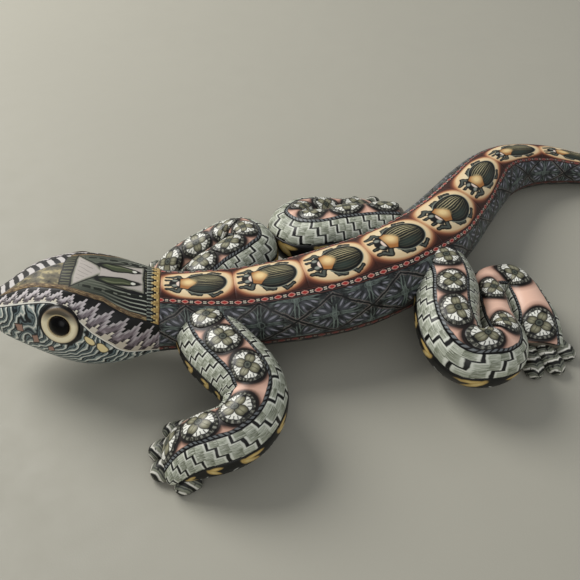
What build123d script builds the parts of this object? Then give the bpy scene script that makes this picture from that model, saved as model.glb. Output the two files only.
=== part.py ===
from build123d import *
import math
import os
import numpy as np

os.makedirs("parts", exist_ok=True)

# A crouching lizard of polymer clay: a plain clay core, dressed all over in thin slices of
# patterned clay. Millimetres and degrees. The nose points to -X, the tail to +X, +Z is up, and
# the origin is the middle of the footprint on the table.

skin = 1.5  # thickness of the patterned slices
thin_share = 0.28  # a slice is never thicker than this share of the roll it lies on
raise_disc = 0.7  # how far a flower disc stands above its ribbon
disc_bed = 1.42  # how deep a flower disc is let in, just short of the core
middle_x, middle_y = 36.5, -3.6  # middle of the footprint in the layout of the tables below
step = 6.0  # longest distance between two sections
arc_step = 15  # widest angle between two points of a section's outline

# Body, nose to tail: x, y, z of the middle, half width right and left, height above, depth
# below, and fullness (2 is an ellipse, more is squarer)
body_rows = [
    (-97, 15, 20.5, 1.2, 1.2, 1.2, 1.2, 2.0),
    (-94, 13.8, 21, 5, 5, 4.8, 4.8, 2.2),
    (-89, 11.5, 21.6, 8.8, 8.8, 8.5, 8, 2.4),
    (-82, 9, 22, 12.5, 12.5, 13, 11, 2.4),
    (-73, 6, 22, 15.8, 15.8, 16.2, 14, 2.4),
    (-63, 2.5, 21.6, 17, 17, 16.2, 15.6, 2.4),
    (-54, 0, 21, 15.8, 15.8, 14, 14.8, 2.3),
    (-45, -2, 20, 13.5, 13.5, 12, 13.2, 2.1),
    (-32, -5.5, 19, 13, 13, 12, 12.5, 2.0),
    (-12, -9.2, 18.8, 13.5, 13.5, 12.5, 12.8, 2.0),
    (14, -10, 18.8, 15, 15, 14, 14, 2.0),
    (38, -4, 18, 15, 15, 13.5, 13.5, 2.0),
    (58, 8.5, 16, 13.8, 13.8, 12.5, 13, 2.0),
    (84, 30, 12.8, 12, 12, 11.5, 12, 2.0),
    (106, 43, 10.6, 10, 10, 9.5, 10, 2.0),
    (128, 42, 8.1, 7.5, 7.5, 7.2, 7.5, 2.0),
    (146, 34, 6.1, 5.2, 5.2, 5, 5.5, 2.0),
    (160, 30, 4.6, 3.2, 3.2, 3.2, 3.8, 2.0),
    (170, 33, 3.4, 1.2, 1.2, 1.2, 2, 2.0),
]
# Distances from the nose, along the spine
snout_end = 4.0
collar_start, collar_end = 51.5, 55.8
slice_seams = [55.8, 79.5, 101.5, 123.3, 148.2, 176.2, 207.9, 236, 262, 280.8]
# Edges of the slices round the body, as angles from straight up, at distances from the nose
crown_edge = [(4, 14), (15, 18), (28, 24), (40, 34), (47, 52), (55.8, 66)]
brow_edge = [(4, 46), (26, 43), (31, 48), (37, 74), (46, 102), (55.8, 118)]
cheek_edge = [(4, 140), (55.8, 150)]
back_edge = [(55.8, 24), (80, 32), (120, 33), (140, 36), (165, 38), (200, 34), (215, 29), (290, 30)]
bead_edge = [(55.8, 34), (80, 42), (120, 43), (140, 46), (165, 48), (200, 44), (215, 39), (290, 40)]
flank_edge = [(55.8, 106), (290, 106)]
beading_edge = [(55.8, 118), (290, 118)]
drift = [(140, 0), (165, -13), (190, -13), (210, -4), (290, -4)]  # the tail's slices lean left

# Eyes: a domed cream ring with a black bead in it
eye_place = 28.6
eye_angle = {"left": 67.0, "right": 78.0}  # the right eye is set lower
eye_radius, pupil_radius = 6.1, 3.4
# heights from the surface of the cheek: sunk part, ring's outer rim, ring round the bead, bead
eye_depth, eye_rim, pupil_rim, pupil_dome = 3.2, -0.5, 0.7, 1.9
ring_crest = (5.2, 0.8)  # radius and height of the ring's shoulder

# Legs, shoulder to foot: x, y, z, half width right and left of the way it runs, height, depth
leg_rows = {
    "front_left": [
        (-31, -8, 17, 10, 10, 9, 9),
        (-31.5, -20, 17.5, 11, 11, 10, 10),
        (-27.5, -33, 17.5, 10.5, 11, 10, 10),
        (-26, -44, 16, 9, 10.5, 10, 10),
        (-33, -51.5, 13.5, 8.6, 10, 9.5, 9.5),
        (-43.5, -51, 10, 9.2, 9.5, 8.5, 8.7),
        (-52, -48, 4.3, 9.5, 9.5, 3.8, 4.8),
    ],
    "front_right": [
        (-31, 4, 17, 10, 9.5, 9, 9),
        (-20, 10.5, 18, 11, 9, 10, 10),
        (-9.5, 17, 17.5, 10.5, 8, 10, 10),
        (-10, 26.5, 15, 9.5, 7, 9.5, 9.5),
        (-21, 29, 11.5, 8.5, 7.6, 8.5, 8.5),
        (-31, 29, 8.5, 7.5, 7.3, 7, 7.6),
        (-39, 28.5, 4.2, 7.5, 7.5, 3.6, 4.7),
    ],
    "hind_left": [
        (50, -4, 16, 10, 10, 9.5, 9.5),
        (48.5, -20, 16.5, 11.5, 10, 10.5, 10.5),
        (43, -34, 16.5, 11.5, 9, 10.5, 10.5),
        (44, -46.5, 15, 11.3, 7, 10, 10),
        (53, -47, 13, 9.5, 6.5, 9, 9),
        (59, -35, 11.3, 6.4, 6, 8, 8),
        (62.5, -25.5, 10.5, 5.6, 6, 7.6, 7.6),
        (66, -17.6, 9.8, 4.4, 7, 7.3, 7.3),
        (72.8, -17.8, 9, 4.4, 8, 7, 7),
        (75, -26, 8, 5.8, 8, 6.8, 7),
        (74.5, -34, 6.8, 7.8, 8.5, 6.2, 6.8),
        (71.5, -42.5, 4.3, 9, 9, 3.8, 4.8),
    ],
    "hind_right": [
        (46, 14, 16.5, 10, 11, 10, 10),
        (34, 16, 17.5, 9, 11.5, 10.5, 10.5),
        (21.5, 18, 17, 9, 11.5, 10.5, 10.5),
        (13.8, 21.6, 15.6, 7.4, 11.2, 10, 10),
        (11.6, 28, 14, 6.6, 10.5, 9.5, 9.5),
        (15.6, 33.6, 12.6, 6.6, 9.4, 8.8, 9),
        (23, 35.8, 11.2, 7, 8.5, 8.2, 8.4),
        (33, 35.5, 9.5, 7, 7.5, 7.2, 7.5),
        (41, 38, 7.4, 7, 7.5, 6, 6.6),
        (46, 42, 4.2, 8, 8, 3.6, 4.7),
    ],
}
# Toes: x, y where each starts inside the foot, x, y of its tip, radius
toe_rows = {
    "front_left": [
        (-45, -37.5, -53, -36.3, 2.5),
        (-49, -43.8, -58.5, -43, 3.1),
        (-50, -50.2, -59.5, -50.4, 3.0),
        (-47, -55.8, -54, -58, 2.6),
    ],
    "front_right": [
        (-36, 22.5, -45, 19, 2.5),
        (-38, 26.8, -48, 26, 2.6),
        (-37.5, 32.2, -47, 34.2, 2.6),
        (-34, 35, -41, 40.5, 2.4),
    ],
    "hind_left": [
        (78.5, -41, 82, -49.5, 2.7),
        (73.5, -43, 74.6, -53.8, 2.9),
        (68.3, -42, 66.5, -53, 2.9),
        (64, -39.5, 57.8, -47.2, 2.6),
    ],
    "hind_right": [
        (49, 37, 58, 36, 2.5),
        (48.5, 42, 58.5, 43.5, 2.6),
        (46, 45, 53.5, 51, 2.6),
        (42, 46.5, 45.5, 54.5, 2.5),
    ],
}
# Flower discs: distances along the leg from its first section
disc_places = {
    "front_left": [9, 20, 31.5, 45, 55.5, 66],
    "front_right": [6, 16.5, 27, 38, 49, 59.5],
    "hind_left": [10, 23, 34, 45, 58.5, 76.5, 93, 112.5],
    "hind_right": [6.5, 19, 31, 44, 56, 68],
}
# How far the ribbon of flowers is turned to the left of the way the leg runs
ribbon_turn = {"front_left": -4, "front_right": 12, "hind_left": 0, "hind_right": -18}
ribbon_half, slab_width = 6.0, 7.8  # along the surface
disc_radius = 5.2
disc_reach = 7.7  # half width of the clay that a disc is cut from, along the surface
pocket_span = (1, 20)  # a disc's pocket, outwards from the middle of the leg
squeeze = 0.78  # a roll is pinched on the inside of a bend to this share of the bend's radius

sole_share = 0.8  # height of a toe's middle above the table, as a share of its radius
# Wire pins that hold the legs on: each runs along the leg from inside the body
pin_radius, pin_start, pin_length = 1.0, 1.0, 20.0
# The side of each leg's crook, and the stretch of the body that it is pressed on
crook_side = {"front_left": -1, "front_right": 1, "hind_left": 1, "hind_right": -1}
root_stretch = {"front": (55.8, 101.5), "hind": (123.3, 207.9)}


class Roll:
    # A bent roll of clay: its sections change smoothly from one table row to the next.
    def __init__(self, rows, seams=()):
        self.rows = np.array(rows, float)
        self.rows[:, 0] -= middle_x
        self.rows[:, 1] -= middle_y
        gaps = np.linalg.norm(np.diff(self.rows[:, :3], axis=0), axis=1)
        self.knots = np.concatenate([[0.0], np.cumsum(gaps)])
        self.length = float(self.knots[-1])
        self.bend = self.solve_bend(gaps)
        marks = sorted({0.0, self.length, *seams})
        self.stations = [0.0]
        for low, high in zip(marks, marks[1:]):
            parts = max(1, math.ceil((high - low) / step))
            self.stations += [low + (high - low) * (i + 1) / parts for i in range(parts)]

    def solve_bend(self, gaps):
        # second derivatives of the natural cubic spline through the rows
        count = len(self.rows)
        matrix = np.eye(count)
        right = np.zeros(self.rows.shape)
        slopes = np.diff(self.rows, axis=0) / gaps[:, None]
        for i in range(1, count - 1):
            matrix[i, i - 1 : i + 2] = gaps[i - 1], 2 * (gaps[i - 1] + gaps[i]), gaps[i]
            right[i] = 6 * (slopes[i] - slopes[i - 1])
        return np.linalg.solve(matrix, right)

    def row(self, s, order=0):
        # the table row at distance s, or its first or second derivative
        i = min(max(int(np.searchsorted(self.knots, s, "right")) - 1, 0), len(self.knots) - 2)
        gap = self.knots[i + 1] - self.knots[i]
        a, b = (self.knots[i + 1] - s) / gap, (s - self.knots[i]) / gap
        start, end, bend0, bend1 = self.rows[i], self.rows[i + 1], self.bend[i], self.bend[i + 1]
        if order == 2:
            return a * bend0 + b * bend1
        if order == 1:
            return (end - start) / gap + gap / 6 * ((1 - 3 * a * a) * bend0 + (3 * b * b - 1) * bend1)
        return a * start + b * end + gap**2 / 6 * ((a**3 - a) * bend0 + (b**3 - b) * bend1)

    def plane(self, s):
        # local x points to the left of the way the roll runs, local y upwards
        along = Vector(*self.row(s, 1)[:3]).normalized()
        left = Vector(0, 0, 1).cross(along).normalized()
        return Plane(origin=Vector(*self.row(s)[:3]), x_dir=left, z_dir=along)

    def sizes(self, s):
        right, left, top, bottom = self.row(s)[3:7]
        along = self.row(s, 1)[:3]
        speed = float(np.linalg.norm(along))
        turn = float(np.cross(along, self.row(s, 2)[:3])[2]) / speed**3
        if turn > 0:
            left = min(left, squeeze / turn)
        elif turn < 0:
            right = min(right, -squeeze / turn)
        return right, left, top, bottom

    def radius(self, s):
        right, left, top, bottom = self.sizes(s)
        return (right + left) / 4 + top / 2

    def point(self, s, angle, depth):
        # local x, y of the surface at an angle from straight up towards the left
        right, left, top, bottom = [v - min(depth, thin_share * v) for v in self.sizes(s)]
        fullness = self.row(s)[7] if self.rows.shape[1] > 7 else 2.0
        across, up = math.sin(math.radians(angle)), math.cos(math.radians(angle))
        x = math.copysign(abs(across) ** (2 / fullness), across) * (left if across > 0 else right)
        y = math.copysign(abs(up) ** (2 / fullness), up) * (top if up > 0 else bottom)
        return x, y

    def curve(self, s, low, high, depth):
        # points along the surface between two angles
        count = max(3, math.ceil(abs(high - low) / arc_step) + 1)
        return [self.point(s, low + (high - low) * i / (count - 1), depth) for i in range(count)]

    def between(self, start, end):
        return [s for s in self.stations if start - 1e-6 <= s <= end + 1e-6]


def edge(table, side=1, start=0):
    # an edge angle as a function of the distance along the body
    def angle(s):
        return start + side * float(np.interp(s, *zip(*table))) + float(np.interp(s, *zip(*drift)))

    return angle


def strip(roll, start, end, low, high, lift=0.0, depth=skin):
    # one slice of patterned clay, between two edges, from one distance to another
    with BuildPart() as laid:
        for s in roll.between(start, end):
            with BuildSketch(roll.plane(s)):
                with BuildLine():
                    outer = Spline(*roll.curve(s, low(s), high(s), -lift))
                    inner = Spline(*roll.curve(s, low(s), high(s), depth))
                    Line(outer @ 0, inner @ 0)
                    Line(outer @ 1, inner @ 1)
                make_face()
        loft(ruled=True)
    return laid.part


def filled(roll, start, end, edges, depth=0.0):
    # a solid stretch of the roll, with its outline broken at the same edges as its slices
    with BuildPart() as solid:
        for s in roll.between(start, end):
            angles = [e(s) for e in edges]
            angles.append(angles[0] + 360)
            with BuildSketch(roll.plane(s)):
                with BuildLine():
                    for low, high in zip(angles, angles[1:]):
                        Spline(*roll.curve(s, low, high, depth))
                make_face()
        loft(ruled=True)
    return solid.part


def save(part, name):
    part.label = name
    export_step(part, f"parts/{name}.step")
    print(name, len(part.solids()), round(part.volume))


def mirrored_edges(*tables):
    # edges of both sides, in order round the roll from just right of underneath
    right = [edge(table, -1) for table in reversed(tables)]
    return right + [edge(table) for table in tables]


def cut(part, *tools):
    # a piece with its neighbours' room taken out of it
    with BuildPart() as left_over:
        add(part)
        for tool in tools:
            add(tool, mode=Mode.SUBTRACT)
    return left_over.part


def above_table(part):
    with BuildPart() as kept:
        add(part)
        split(bisect_by=Plane.XY, keep=Keep.TOP)
    return kept.part


def surface_plane(roll, s, angle):
    # a plane on the surface, with its z pointing straight out of the clay
    def place(distance, turn):
        return roll.plane(distance).from_local_coords(Vector(*roll.point(distance, turn, 0), 0))

    centre = place(s, angle)
    along = place(s + 0.5, angle) - place(s - 0.5, angle)
    round_it = place(s, angle - 1) - place(s, angle + 1)
    return Plane(origin=centre, x_dir=along, z_dir=round_it.cross(along))


def turned(plane, profile, crest):
    # a solid of revolution about the plane's z: radius and height pairs joined by lines, and an
    # arc from the last pair over the crest back to the first
    with BuildPart() as solid:
        with BuildSketch(Plane(origin=plane.origin, x_dir=plane.x_dir, z_dir=-plane.y_dir)):
            with BuildLine():
                Polyline(*profile)
                ThreePointArc(profile[-1], crest, profile[0])
            make_face()
        revolve(axis=Axis(plane.origin, plane.z_dir))
    return solid.part


def round_bar(plane, radius, low, high):
    # a cylinder along the plane's z
    with BuildPart() as bar:
        with BuildSketch(plane.offset(low)):
            Circle(radius)
        extrude(amount=high - low)
    return bar.part


def toe(x0, y0, x1, y1, radius):
    # a finger of clay with a round tip and a flat sole
    root = Vector(x0 - middle_x, y0 - middle_y, radius * sole_share)
    tip = Vector(x1 - middle_x, y1 - middle_y, radius * sole_share)
    along = (tip - root).normalized()
    length = (tip - root).length
    with BuildPart() as finger:
        with BuildSketch(Plane(origin=root, x_dir=along, z_dir=Vector(0, 0, 1).cross(along))):
            with BuildLine():
                Polyline((length, 0), (0, 0), (0, radius), (length - radius, radius))
                RadiusArc((length - radius, radius), (length, 0), radius)
            make_face()
        revolve(axis=Axis(root, along))
        split(bisect_by=Plane.XY, keep=Keep.TOP)
    return finger.part


# Body, head and tail
body = Roll(body_rows, [snout_end, collar_start, *slice_seams])
head_edges = mirrored_edges(crown_edge, brow_edge, cheek_edge)
body_edges = mirrored_edges(back_edge, bead_edge, flank_edge, beading_edge)
neck, tail_seam = collar_end, slice_seams[-1]
parts = {
    "head_core": filled(body, snout_end, neck, head_edges, skin),
    "body_core": filled(body, neck, tail_seam, body_edges, skin),
    "snout_tip": filled(body, 0, snout_end, head_edges),
    "tail_tip": filled(body, tail_seam, body.length, body_edges),
    "crown_slice": strip(body, snout_end, collar_start, edge(crown_edge, -1), edge(crown_edge)),
    "collar_band": strip(body, collar_start, neck, edge(crown_edge, -1), edge(crown_edge)),
    "throat_skin": strip(body, snout_end, neck, edge(cheek_edge), edge(cheek_edge, -1, 360)),
    "belly_skin": strip(body, neck, tail_seam, edge(beading_edge), edge(beading_edge, -1, 360)),
}
for number, (start, end) in enumerate(zip(slice_seams, slice_seams[1:]), 1):
    parts[f"back_slice_{number:02d}"] = strip(body, start, end, edge(back_edge, -1), edge(back_edge))
beadings = []
# the left of the way from nose to tail is the lizard's own right
for side, own in ((-1, "left"), (1, "right")):
    head_bands = {"brow_band": (crown_edge, brow_edge), "cheek_skin": (brow_edge, cheek_edge)}
    for name, (low, high) in head_bands.items():
        parts[f"{name}_{own}"] = strip(body, snout_end, neck, edge(low, side), edge(high, side))
    body_bands = {"bead_strip": (back_edge, bead_edge), "flank_skin": (bead_edge, flank_edge)}
    for name, (low, high) in body_bands.items():
        parts[f"{name}_{own}"] = strip(body, neck, tail_seam, edge(low, side), edge(high, side))
    beadings.append(strip(body, neck, tail_seam, edge(flank_edge, side), edge(beading_edge, side)))
print("body laid")

# Eyes, let into the cheek and the brow; the bead's dome is a cap of a ball
cap_height = pupil_dome - pupil_rim
ball = (pupil_radius**2 + cap_height**2) / (2 * cap_height)
half_way = pupil_radius / 2
bead_crest = (half_way, pupil_dome - ball + math.sqrt(ball**2 - half_way**2))
for side, own in ((-1, "left"), (1, "right")):
    face = surface_plane(body, eye_place, eye_angle[own] * side)
    ring = [(pupil_radius, pupil_rim), (pupil_radius, -eye_depth), (eye_radius, -eye_depth)]
    parts[f"eye_ring_{own}"] = turned(face, [*ring, (eye_radius, eye_rim)], ring_crest)
    bead = [(0, pupil_dome), (0, -eye_depth), (pupil_radius, -eye_depth), (pupil_radius, pupil_rim)]
    parts[f"eye_bead_{own}"] = turned(face, bead, bead_crest)
    socket = round_bar(face, eye_radius, -eye_depth, eye_depth * 2)
    for name in ("head_core", f"brow_band_{own}", f"cheek_skin_{own}"):
        parts[name] = cut(parts[name], socket)
print("eyes set")

# Legs
pins = []
for name, rows in leg_rows.items():
    leg = Roll(rows)
    trunk = filled(body, *root_stretch[name.split("_")[0]], body_edges)
    turn = ribbon_turn[name]

    def band(distance, roll=leg, centre=turn, start=0):
        # an edge at a distance round the surface from the middle of the ribbon
        return lambda s: start + centre + math.degrees(distance / roll.radius(s))

    slab_edge = ribbon_half + slab_width
    edges = [band(-slab_edge), band(-ribbon_half), band(ribbon_half), band(slab_edge)]
    flowers, pockets = [], []
    for place in disc_places[name]:
        low = max(s for s in leg.stations if s <= max(place - disc_radius, 0))
        high = min(s for s in leg.stations if s >= min(place + disc_radius, leg.length))
        middle = leg.plane(place)
        outwards = middle.y_dir.rotate(Axis((0, 0, 0), tuple(middle.z_dir)), -turn)
        pocket = round_bar(Plane(origin=middle.origin, z_dir=outwards), disc_radius, *pocket_span)
        with BuildPart() as disc:
            reach = band(-disc_reach), band(disc_reach)
            add(strip(leg, low, high, *reach, raise_disc, disc_bed))
            add(pocket, mode=Mode.INTERSECT)
            add(trunk, mode=Mode.SUBTRACT)
        flowers.append(disc.part)
        pockets.append(pocket)
    first = leg.plane(pin_start)
    toward = Vector(*leg.row(pin_start + pin_length)[:3]) - first.origin
    pin = round_bar(Plane(origin=first.origin, z_dir=toward), pin_radius, 0, pin_length)
    pins.append(pin)
    own = name.split("_")[1]
    parts["body_core"] = cut(parts["body_core"], pin)
    parts[f"flank_skin_{own}"] = cut(parts[f"flank_skin_{own}"], pin)
    pieces = {
        "core": cut(filled(leg, 0, leg.length, edges, skin), trunk, pin),
        "ribbon": cut(strip(leg, 0, leg.length, edges[1], edges[2]), trunk, *pockets),
        "left_slab": cut(strip(leg, 0, leg.length, edges[2], edges[3]), trunk, *pockets),
        "right_slab": cut(strip(leg, 0, leg.length, edges[0], edges[1]), trunk, *pockets),
        "underside": cut(
            strip(leg, 0, leg.length, edges[3], band(-slab_edge, start=360)), trunk
        ),
    }
    crook = "left_slab" if crook_side[name] > 0 else "right_slab"
    whole = filled(leg, 0, leg.length, edges)
    toes = [cut(toe(*row), whole) for row in toe_rows[name]]
    for piece, solid in pieces.items():
        if "slab" in piece:
            piece = "inner_slab" if piece == crook else "outer_slab"
        parts[f"{name}_leg_{piece}"] = above_table(solid)
    trimmed = [cut(flower, *toes) for flower in flowers]
    parts[f"{name}_leg_flowers"] = Compound([s for flower in trimmed for s in flower.solids()])
    parts[f"{name}_toes"] = Compound([s for each in toes for s in each.solids()])
    print(name, "leg laid")
parts["belly_beading"] = Compound([s for beading in beadings for s in beading.solids()])
parts["leg_pins"] = Compound([s for pin in pins for s in pin.solids()])

for name, part in parts.items():
    save(part, name)
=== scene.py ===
import math
import bpy
import bmesh
import numpy as np
from mathutils import Matrix, Vector, noise


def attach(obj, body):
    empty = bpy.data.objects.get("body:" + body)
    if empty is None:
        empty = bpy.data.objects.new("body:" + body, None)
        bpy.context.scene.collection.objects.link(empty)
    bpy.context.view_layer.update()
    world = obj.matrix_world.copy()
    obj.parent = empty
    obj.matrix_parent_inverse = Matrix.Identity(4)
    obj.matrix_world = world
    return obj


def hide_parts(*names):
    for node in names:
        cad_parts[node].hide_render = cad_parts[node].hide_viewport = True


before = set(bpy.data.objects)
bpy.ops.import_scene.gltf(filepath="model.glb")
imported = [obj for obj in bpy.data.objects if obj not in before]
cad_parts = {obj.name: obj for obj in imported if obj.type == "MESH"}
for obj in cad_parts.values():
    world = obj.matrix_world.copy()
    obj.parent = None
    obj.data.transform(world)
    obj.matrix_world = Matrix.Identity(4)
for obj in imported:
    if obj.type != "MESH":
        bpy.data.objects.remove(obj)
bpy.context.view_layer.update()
mm = 0.001
noise.seed_set(7)  # keeps the uneven toes the same each time

# Clay sizes are in millimetres and angles in degrees, until a point is placed
clay = {
    "middle": (36.5, -3.6),  # middle of the footprint in the layout of the rows below
    "skin": 1.5,  # thickness of the patterned slices
    "thinShare": 0.28,  # a slice is never thicker than this share of its roll
    "squeeze": 0.78,  # a roll is pinched inside a bend to this share of the bend's radius
    "cell": 1.0,  # size of the mesh cells
    "wobble": 0.16,  # how uneven hand-rolled clay is
    "wander": 0.22,  # how far a laid edge strays
    "clearance": 0.02,  # nothing is lower than this over the table
    "weld": 0.005,  # points nearer than this are joined
    "taper": 1.6,  # length over which a closed end rounds off
}

# Body, nose to tail: x, y, z of the middle, half width right and left, height above, depth
# below, and fullness (2 is an ellipse, more is squarer)
bodyRows = [
    (-97, 15, 20.5, 1.2, 1.2, 1.2, 1.2, 2.0),
    (-94, 13.8, 21, 5, 5, 4.8, 4.8, 2.2),
    (-89, 11.5, 21.6, 8.8, 8.8, 8.5, 8, 2.4),
    (-82, 9, 22, 12.5, 12.5, 13, 11, 2.4),
    (-73, 6, 22, 15.8, 15.8, 16.2, 14, 2.4),
    (-63, 2.5, 21.6, 17, 17, 16.2, 15.6, 2.4),
    (-54, 0, 21, 15.8, 15.8, 14, 14.8, 2.3),
    (-45, -2, 20, 13.5, 13.5, 12, 13.2, 2.1),
    (-32, -5.5, 19, 13, 13, 12, 12.5, 2.0),
    (-12, -9.2, 18.8, 13.5, 13.5, 12.5, 12.8, 2.0),
    (14, -10, 18.8, 15, 15, 14, 14, 2.0),
    (38, -4, 18, 15, 15, 13.5, 13.5, 2.0),
    (58, 8.5, 16, 13.8, 13.8, 12.5, 13, 2.0),
    (84, 30, 12.8, 12, 12, 11.5, 12, 2.0),
    (106, 43, 10.6, 10, 10, 9.5, 10, 2.0),
    (128, 42, 8.1, 7.5, 7.5, 7.2, 7.5, 2.0),
    (146, 34, 6.1, 5.2, 5.2, 5, 5.5, 2.0),
    (160, 30, 4.6, 3.2, 3.2, 3.2, 3.8, 2.0),
    (170, 33, 3.4, 1.2, 1.2, 1.2, 2, 2.0),
]
# Legs, shoulder to foot: x, y, z, half width right and left of the way the leg runs, height, depth
legRows = {
    "front_left": [
        (-31, -8, 17, 10, 10, 9, 9),
        (-31.5, -20, 17.5, 11, 11, 10, 10),
        (-27.5, -33, 17.5, 10.5, 11, 10, 10),
        (-26, -44, 16, 9, 10.5, 10, 10),
        (-33, -51.5, 13.5, 8.6, 10, 9.5, 9.5),
        (-43.5, -51, 10, 9.2, 9.5, 8.5, 8.7),
        (-52, -48, 4.3, 9.5, 9.5, 3.8, 4.8),
    ],
    "front_right": [
        (-31, 4, 17, 10, 9.5, 9, 9),
        (-20, 10.5, 18, 11, 9, 10, 10),
        (-9.5, 17, 17.5, 10.5, 8, 10, 10),
        (-10, 26.5, 15, 9.5, 7, 9.5, 9.5),
        (-21, 29, 11.5, 8.5, 7.6, 8.5, 8.5),
        (-31, 29, 8.5, 7.5, 7.3, 7, 7.6),
        (-39, 28.5, 4.2, 7.5, 7.5, 3.6, 4.7),
    ],
    "hind_left": [
        (50, -4, 16, 10, 10, 9.5, 9.5),
        (48.5, -20, 16.5, 11.5, 10, 10.5, 10.5),
        (43, -34, 16.5, 11.5, 9, 10.5, 10.5),
        (44, -46.5, 15, 11.3, 7, 10, 10),
        (53, -47, 13, 9.5, 6.5, 9, 9),
        (59, -35, 11.3, 6.4, 6, 8, 8),
        (62.5, -25.5, 10.5, 5.6, 6, 7.6, 7.6),
        (66, -17.6, 9.8, 4.4, 7, 7.3, 7.3),
        (72.8, -17.8, 9, 4.4, 8, 7, 7),
        (75, -26, 8, 5.8, 8, 6.8, 7),
        (74.5, -34, 6.8, 7.8, 8.5, 6.2, 6.8),
        (71.5, -42.5, 4.3, 9, 9, 3.8, 4.8),
    ],
    "hind_right": [
        (46, 14, 16.5, 10, 11, 10, 10),
        (34, 16, 17.5, 9, 11.5, 10.5, 10.5),
        (21.5, 18, 17, 9, 11.5, 10.5, 10.5),
        (13.8, 21.6, 15.6, 7.4, 11.2, 10, 10),
        (11.6, 28, 14, 6.6, 10.5, 9.5, 9.5),
        (15.6, 33.6, 12.6, 6.6, 9.4, 8.8, 9),
        (23, 35.8, 11.2, 7, 8.5, 8.2, 8.4),
        (33, 35.5, 9.5, 7, 7.5, 7.2, 7.5),
        (41, 38, 7.4, 7, 7.5, 6, 6.6),
        (46, 42, 4.2, 8, 8, 3.6, 4.7),
    ],
}
# Edges between slices, as angles from straight up at distances from the nose
edgeTables = {
    "crown": [(4, 14), (15, 18), (28, 24), (40, 34), (47, 52), (55.8, 66)],
    "brow": [(4, 46), (26, 43), (31, 48), (37, 74), (46, 102), (55.8, 118)],
    "cheek": [(4, 140), (55.8, 150)],
    "back": [(55.8, 24), (80, 32), (120, 33), (140, 36), (165, 38), (200, 34), (215, 29), (290, 30)],
    "bead": [(55.8, 34), (80, 42), (120, 43), (140, 46), (165, 48), (200, 44), (215, 39), (290, 40)],
    "flank": [(55.8, 106), (290, 106)],
    "beading": [(55.8, 118), (290, 118)],
}
# how far the tail's slices turn, which is towards the lizard's left
drift = [(140, 0), (165, -13), (190, -13), (210, -4), (290, -4)]
seams = {
    "snout": 4.0,
    "collar": 51.5,
    "neck": 55.8,
    "back": [55.8, 79.5, 101.5, 123.3, 148.2, 176.2, 207.9, 236, 262, 280.8],
}


class ClayRoll:
    # a bent roll of clay, whose sections change smoothly from row to row
    def __init__(self, rows):
        self.rows = np.array(rows, float)
        self.rows[:, :2] -= clay["middle"]
        gaps = np.linalg.norm(np.diff(self.rows[:, :3], axis=0), axis=1)
        self.knots = np.concatenate([[0.0], np.cumsum(gaps)])
        self.length = float(self.knots[-1])
        self.bend = self.solveBend(gaps)
        self.sections = {}

    def solveBend(self, gaps):
        # second derivatives of the natural cubic spline through the rows
        matrix = np.eye(len(self.rows))
        right = np.zeros(self.rows.shape)
        slopes = np.diff(self.rows, axis=0) / gaps[:, None]
        for i in range(1, len(self.rows) - 1):
            matrix[i, i - 1 : i + 2] = gaps[i - 1], 2 * (gaps[i - 1] + gaps[i]), gaps[i]
            right[i] = 6 * (slopes[i] - slopes[i - 1])
        return np.linalg.solve(matrix, right)

    def row(self, s, order=0):
        # the row at distance s, or its first or second derivative
        i = min(max(int(np.searchsorted(self.knots, s, "right")) - 1, 0), len(self.knots) - 2)
        gap = self.knots[i + 1] - self.knots[i]
        a, b = (self.knots[i + 1] - s) / gap, (s - self.knots[i]) / gap
        low, high, bend0, bend1 = self.rows[i], self.rows[i + 1], self.bend[i], self.bend[i + 1]
        if order == 2:
            return a * bend0 + b * bend1
        if order == 1:
            return (high - low) / gap + gap / 6 * ((1 - 3 * a * a) * bend0 + (3 * b * b - 1) * bend1)
        return a * low + b * high + gap**2 / 6 * ((a**3 - a) * bend0 + (b**3 - b) * bend1)

    def section(self, s):
        # middle, direction to the left, direction upwards, half sizes and fullness at distance s
        key = round(s, 3)
        if key in self.sections:
            return self.sections[key]
        values, speed = self.row(s), self.row(s, 1)[:3]
        along = Vector(speed).normalized()
        left = Vector((0, 0, 1)).cross(along).normalized()
        turn = float(np.cross(speed, self.row(s, 2)[:3])[2]) / float(np.linalg.norm(speed)) ** 3
        rightHalf, leftHalf, top, bottom = [float(v) for v in values[3:7]]
        if turn > 0:
            leftHalf = min(leftHalf, clay["squeeze"] / turn)
        elif turn < 0:
            rightHalf = min(rightHalf, -clay["squeeze"] / turn)
        sizes = (rightHalf, leftHalf, top, bottom)
        fullness = float(values[7]) if len(values) > 7 else 2.0
        self.sections[key] = (Vector(values[:3]), left, along.cross(left), sizes, fullness)
        return self.sections[key]

    def radius(self, s):
        # mean of the half width and the height, for lengths round the upper side
        rightHalf, leftHalf, top = self.section(s)[3][:3]
        return (rightHalf + leftHalf) / 4 + top / 2

    def point(self, s, angle, depth=0.0):
        # a point at an angle from straight up towards the left, at a depth under the surface
        middle, left, up, sizes, fullness = self.section(s)
        rightHalf, leftHalf, top, bottom = [v - min(depth, clay["thinShare"] * v) for v in sizes]
        across, rise = math.sin(math.radians(angle)), math.cos(math.radians(angle))
        x = math.copysign(abs(across) ** (2 / fullness), across)
        y = math.copysign(abs(rise) ** (2 / fullness), rise)
        return middle + left * x * (leftHalf if x > 0 else rightHalf) + up * y * (top if y > 0 else bottom)

    def outward(self, s, angle):
        # the direction straight out of the clay
        ahead, behind = min(s + 0.5, self.length), max(s - 0.5, 0)
        along = self.point(ahead, angle) - self.point(behind, angle)
        around = self.point(s, angle - 2) - self.point(s, angle + 2)
        return around.cross(along).normalized()

    def arc(self, s, turn):
        # length along the surface of a turn in degrees
        return abs(turn) * math.pi / 180 * self.radius(s)


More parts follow.
